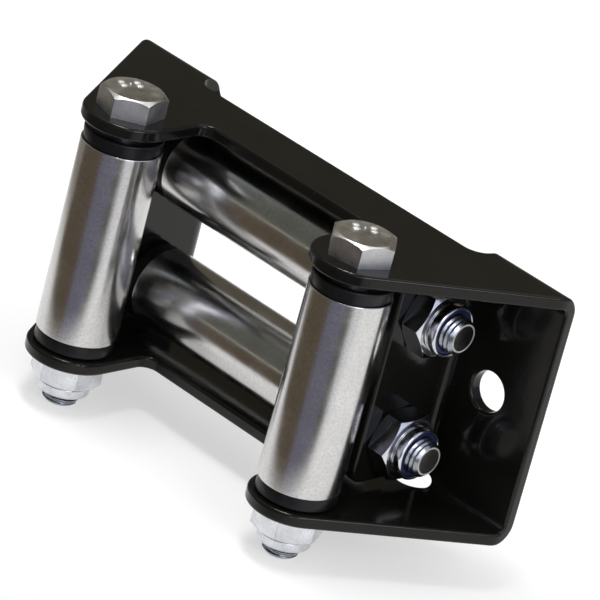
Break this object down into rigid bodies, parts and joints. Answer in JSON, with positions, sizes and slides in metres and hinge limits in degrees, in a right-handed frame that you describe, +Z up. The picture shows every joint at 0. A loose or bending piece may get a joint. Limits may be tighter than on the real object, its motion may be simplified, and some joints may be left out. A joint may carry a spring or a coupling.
{
  "type": "roller fairlead",
  "caption": "Roller fairlead: a bent plate bracket carrying upright and level rollers on through bolts, which guide a winch rope through its opening.",
  "frame": {"origin": "midway between the two mounting holes, on the bracket's back face", "axes": "+X to the right seen from the front, +Y backwards out of the back face towards the winch, +Z up along the upright rollers"},
  "size_m": [0.159, 0.057, 0.0914],
  "materials": {
    "black_coating": "glossy black powder coat",
    "roller_plating": "bright plated steel",
    "black_nylon": "satin",
    "bright_zinc": "bright zinc plate",
    "blue_nylon": "satin"
  },
  "bodies": {
    "frame": {"bracket": "black_coating", "left_roller_bolt": "bright_zinc", "left_roller_nut": "bright_zinc", "left_roller_nut_ring": "blue_nylon", "right_roller_bolt": "bright_zinc", "right_roller_nut": "bright_zinc", "right_roller_nut_ring": "blue_nylon", "upper_roller_bolt": "bright_zinc", "upper_roller_nut": "bright_zinc", "upper_roller_nut_ring": "blue_nylon", "lower_roller_bolt": "bright_zinc", "lower_roller_nut": "bright_zinc", "lower_roller_nut_ring": "blue_nylon"},
    "left_roller": {"left_roller_tube": "roller_plating", "left_roller_top_bushing": "black_nylon", "left_roller_bottom_bushing": "black_nylon"},
    "right_roller": {"right_roller_tube": "roller_plating", "right_roller_top_bushing": "black_nylon", "right_roller_bottom_bushing": "black_nylon"},
    "upper_roller": {"upper_roller_tube": "roller_plating", "upper_roller_left_bushing": "black_nylon", "upper_roller_right_bushing": "black_nylon"},
    "lower_roller": {"lower_roller_tube": "roller_plating", "lower_roller_left_bushing": "black_nylon", "lower_roller_right_bushing": "black_nylon"}
  },
  "joints": [
    {"name": "left_roller_turn", "type": "hinge", "parent": "frame", "child": "left_roller", "pos_m": [-0.043, -0.0445, 0], "axis": [0, 0, 1], "continuous": true},
    {"name": "right_roller_turn", "type": "hinge", "parent": "frame", "child": "right_roller", "pos_m": [0.043, -0.0445, 0], "axis": [0, 0, 1], "continuous": true},
    {"name": "upper_roller_turn", "type": "hinge", "parent": "frame", "child": "upper_roller", "pos_m": [0, -0.0188, 0.0177], "axis": [1, 0, 0], "continuous": true},
    {"name": "lower_roller_turn", "type": "hinge", "parent": "frame", "child": "lower_roller", "pos_m": [0, -0.0188, -0.0177], "axis": [1, 0, 0], "continuous": true}
  ]
}
